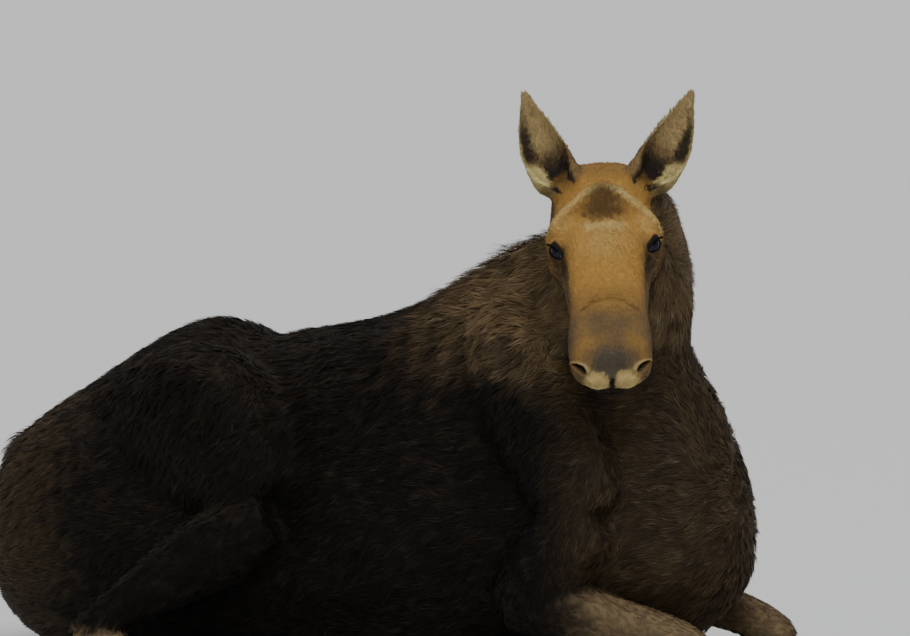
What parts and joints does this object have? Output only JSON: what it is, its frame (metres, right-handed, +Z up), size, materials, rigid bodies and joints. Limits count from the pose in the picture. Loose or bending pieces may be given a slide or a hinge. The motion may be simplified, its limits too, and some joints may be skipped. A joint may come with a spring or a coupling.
{
  "type": "moose",
  "caption": "Life-size cow moose lying on its breastbone with folded legs, dark winter coat, tan face, upright ears and head turned to its right.",
  "frame": {"origin": "on the floor, in the middle of the flat under the belly, below the middle of the trunk", "axes": "+X forward along the trunk from rump to breast, +Y to the animal's left, +Z up"},
  "size_m": [1.8876, 1.0119, 1.2763],
  "materials": {
    "body_coat": "matte dark brown winter hair",
    "face_coat": "matte short tan hair",
    "ear_coat": "matte grey-brown hair",
    "leg_coat": "matte short grey-brown hair",
    "eye": "wet, glossy, dark brown",
    "hoof": "dull dark horn"
  },
  "bodies": {
    "root": {"head": "face_coat", "lower_jaw": "face_coat", "ear_left": "ear_coat", "ear_right": "ear_coat", "eye_left": "eye", "eye_right": "eye", "neck": "body_coat", "bell": "body_coat", "trunk": "body_coat", "tail": "body_coat", "shoulder_left": "body_coat", "upper_arm_left": "body_coat", "thigh_left": "body_coat", "shank_left": "body_coat", "forearm_left": "leg_coat", "fore_cannon_left": "leg_coat", "hind_cannon_left": "leg_coat", "hoof_fore_left_outer": "hoof", "dewclaw_fore_left_outer": "hoof", "hoof_fore_left_inner": "hoof", "dewclaw_fore_left_inner": "hoof", "hoof_hind_left_outer": "hoof", "dewclaw_hind_left_outer": "hoof", "hoof_hind_left_inner": "hoof", "dewclaw_hind_left_inner": "hoof", "shoulder_right": "body_coat", "upper_arm_right": "body_coat", "thigh_right": "body_coat", "shank_right": "body_coat", "forearm_right": "leg_coat", "fore_cannon_right": "leg_coat", "hind_cannon_right": "leg_coat", "hoof_fore_right_outer": "hoof", "dewclaw_fore_right_outer": "hoof", "hoof_fore_right_inner": "hoof", "dewclaw_fore_right_inner": "hoof", "hoof_hind_right_outer": "hoof", "dewclaw_hind_right_outer": "hoof", "hoof_hind_right_inner": "hoof", "dewclaw_hind_right_inner": "hoof"}
  },
  "joints": []
}
